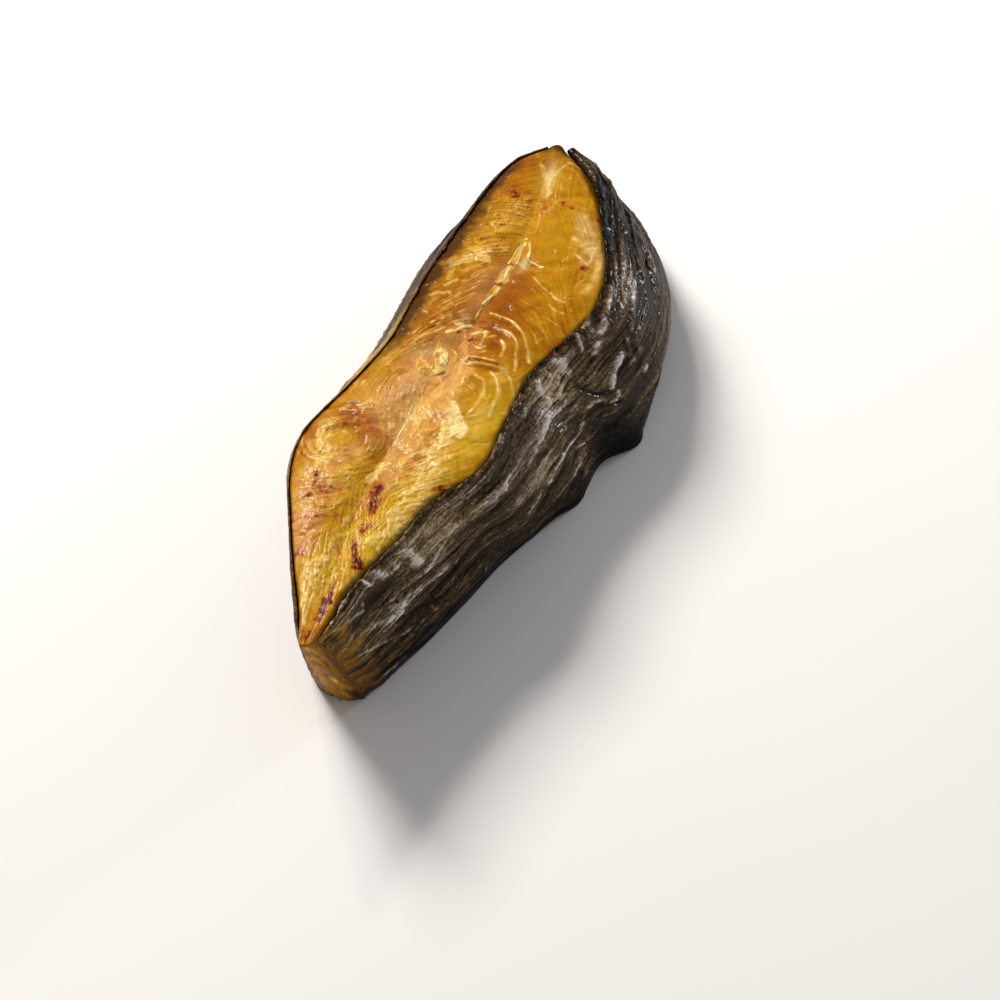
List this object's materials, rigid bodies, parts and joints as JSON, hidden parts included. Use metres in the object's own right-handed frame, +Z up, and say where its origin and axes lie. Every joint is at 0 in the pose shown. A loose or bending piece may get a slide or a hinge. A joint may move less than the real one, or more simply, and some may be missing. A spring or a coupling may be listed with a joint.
{
  "type": "smoked halibut steak",
  "caption": "Smoked halibut steak cut across the fish: amber flesh in rings of flakes, dark wrinkled skin on both long sides, bare fin edges and a backbone through the middle.",
  "frame": {"origin": "middle of the steak's bounding box, on the plane that it rests on", "axes": "+X along the steak from the near fin edge to the far one, +Y towards the side with less skin in view, +Z up out of the cut face that shows"},
  "size_m": [0.2418, 0.0822, 0.0451],
  "materials": {
    "flesh": "glossy smoked fish flesh, amber and slightly translucent, with cream lines between the flakes",
    "skin": "wet, wrinkled charcoal brown fish skin with pale glints on the ridges",
    "bone": "cream to pale yellow cooked fish bone and cartilage, slightly glossy"
  },
  "bodies": {
    "root": {"flesh": "flesh", "skin_right": "skin", "skin_left": "skin", "backbone": "bone"}
  },
  "joints": []
}
